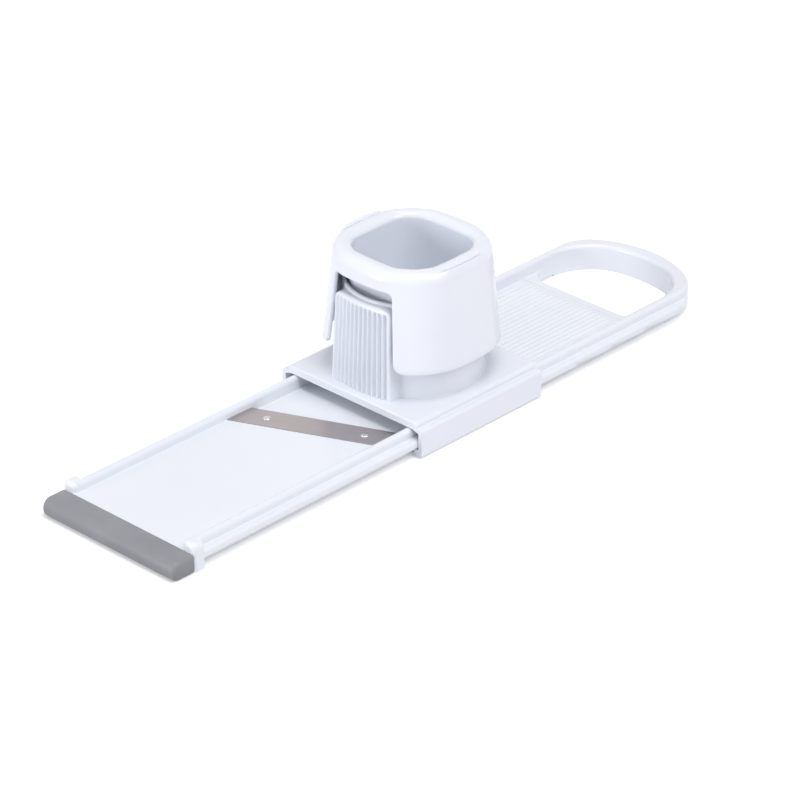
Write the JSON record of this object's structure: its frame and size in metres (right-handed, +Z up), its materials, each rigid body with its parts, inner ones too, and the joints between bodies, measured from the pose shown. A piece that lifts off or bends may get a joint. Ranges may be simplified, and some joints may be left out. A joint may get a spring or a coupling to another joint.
{
  "type": "mandoline slicer",
  "caption": "Flat hand slicer with a slanted fixed blade, ribbed feed plate, loop handle and a sliding food holder whose pusher cap presses food down a round tube.",
  "frame": {"origin": "on the surface the slicer rests on, under the middle of its length and width", "axes": "+X along the stroke towards the loop handle, +Y across the bed, +Z up"},
  "size_m": [0.2764, 0.0674, 0.062],
  "materials": {
    "frame_abs": "moulded gloss white",
    "holder_abs": "moulded gloss white",
    "grip_elastomer": "matte grey elastomer",
    "blade_steel": "brushed along the blade",
    "rivet_steel": "formed, polished",
    "pin_steel": "drawn and ground"
  },
  "bodies": {
    "frame": {"slicer_frame": "frame_abs", "end_grip": "grip_elastomer", "blade": "blade_steel", "blade_rivet_near": "rivet_steel", "blade_rivet_far": "rivet_steel", "feed_plate": "frame_abs"},
    "sled": {"sled_carriage": "holder_abs", "food_tube": "holder_abs"},
    "pusher": {"pusher_cap": "holder_abs", "spike_plate": "holder_abs", "holding_pin_01": "pin_steel", "holding_pin_02": "pin_steel", "holding_pin_03": "pin_steel", "holding_pin_04": "pin_steel", "holding_pin_05": "pin_steel", "holding_pin_06": "pin_steel", "holding_pin_07": "pin_steel", "holding_pin_08": "pin_steel", "holding_pin_09": "pin_steel", "holding_pin_10": "pin_steel", "holding_pin_11": "pin_steel", "holding_pin_12": "pin_steel"}
  },
  "joints": [
    {"name": "sled_slide", "type": "slide", "parent": "frame", "child": "sled", "axis": [1, 0, 0], "range_m": [-0.1014, 0.072]},
    {"name": "pusher_slide", "type": "slide", "parent": "sled", "child": "pusher", "axis": [0, 0, 1], "range_m": [-0.0065, 0.034]}
  ]
}
